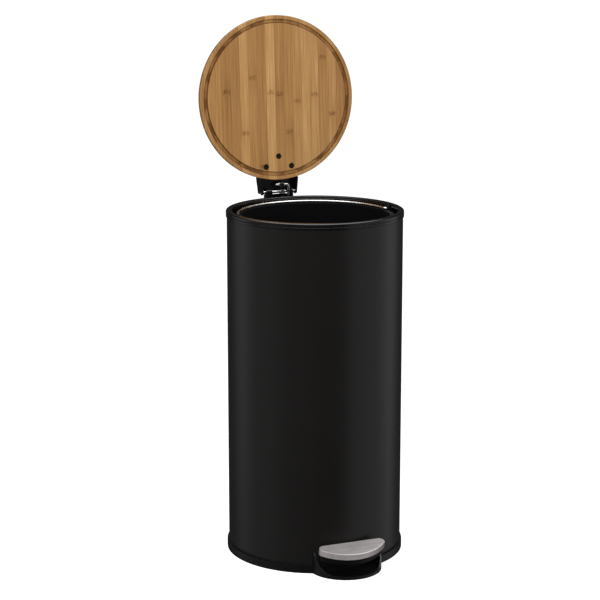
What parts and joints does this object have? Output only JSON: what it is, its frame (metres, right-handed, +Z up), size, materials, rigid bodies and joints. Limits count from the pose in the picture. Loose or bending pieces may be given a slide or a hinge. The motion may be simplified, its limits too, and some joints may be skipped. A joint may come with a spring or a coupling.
{
  "type": "pedal trash can",
  "caption": "Tall round black pedal trash can with a bamboo lid held wide open, a half-round steel foot pedal and an inner bucket with a wire handle.",
  "frame": {"origin": "on the floor under the middle of the body, at the centre foot pad's underside", "axes": "+Z up along the body's axis, -Y towards the pedal, +Y towards the hinge, +X to the right of a person facing the pedal"},
  "size_m": [0.298, 0.3765, 0.8897],
  "materials": {
    "painted_steel": "satin black powder coat over rolled steel sheet",
    "matte_black_plastic": "fine-grained black moulding",
    "gloss_black_plastic": "polished black moulding",
    "bucket_plastic": "plain black moulding, slightly blue",
    "rubber": "dull black",
    "bamboo": "glued bamboo strips with a satin clear lacquer",
    "plated_steel": "zinc plated",
    "brushed_steel": "brushed stainless sheet, grain across the pedal",
    "black_screw": "blackened steel"
  },
  "bodies": {
    "bin": {"base": "matte_black_plastic", "foot_pad_1": "rubber", "foot_pad_2": "rubber", "foot_pad_3": "rubber", "foot_pad_4": "rubber", "foot_pad_centre": "rubber", "outer_shell": "painted_steel", "top_ring": "matte_black_plastic", "rear_column": "matte_black_plastic", "column_screw_1": "plated_steel", "column_screw_2": "plated_steel", "hinge_base": "gloss_black_plastic", "hinge_base_screw_1": "plated_steel", "hinge_base_screw_2": "plated_steel", "hinge_pin_1": "plated_steel", "hinge_pin_2": "plated_steel", "hinge_pin_collar": "plated_steel", "damper_body": "plated_steel", "damper_clamp": "matte_black_plastic", "lever_bracket": "plated_steel", "lever_bracket_screw_1": "plated_steel", "lever_bracket_screw_2": "plated_steel", "lever_pin": "plated_steel", "lever_pin_clip_1": "plated_steel", "lever_pin_clip_2": "plated_steel"},
    "lid": {"lid_board": "bamboo", "lid_bracket": "gloss_black_plastic", "lid_screw_1": "black_screw", "lid_screw_2": "black_screw", "lid_screw_3": "black_screw"},
    "pedal": {"pedal_lever": "plated_steel", "pedal_body": "matte_black_plastic", "pedal_cap": "brushed_steel", "pedal_screw_1": "plated_steel", "pedal_screw_2": "plated_steel"},
    "rod": {"lift_rod": "plated_steel", "rod_clip_top": "plated_steel", "rod_clip_bottom": "plated_steel", "rod_collar": "plated_steel"},
    "plunger": {"damper_plunger": "plated_steel"},
    "bucket": {"inner_bucket": "bucket_plastic"},
    "bail": {"bail_handle": "plated_steel"}
  },
  "joints": [
    {"name": "lid_hinge", "type": "hinge", "parent": "bin", "child": "lid", "pos_m": [0, 0.1615, 0.588], "axis": [-1, 0, 0], "range_deg": [-93.5, 0]},
    {"name": "pedal_pivot", "type": "hinge", "parent": "bin", "child": "pedal", "pos_m": [0, 0, 0.033], "axis": [1, 0, 0], "range_deg": [-4.52, 0]},
    {"name": "rod_swing", "type": "hinge", "parent": "pedal", "child": "rod", "pos_m": [0, 0.1615, 0.03937], "axis": [1, 0, 0], "range_deg": [0, 5.75]},
    {"name": "damper_stroke", "type": "slide", "parent": "bin", "child": "plunger", "axis": [0, 0, 1], "range_m": [-0.01274, 0]},
    {"name": "bucket_lift", "type": "slide", "parent": "bin", "child": "bucket", "axis": [0, 0, 1], "range_m": [0, 0.62]},
    {"name": "bail_swing", "type": "hinge", "parent": "bucket", "child": "bail", "pos_m": [0, 0, 0.575], "axis": [1, 0, 0], "range_deg": [0, 180]}
  ],
  "couplings": [
    {"joint": "pedal_pivot", "follows": "lid_hinge", "ratio": 0.048325},
    {"joint": "rod_swing", "follows": "lid_hinge", "ratio": -0.061418},
    {"joint": "damper_stroke", "follows": "lid_hinge", "m_per_rad": 0.007802}
  ]
}
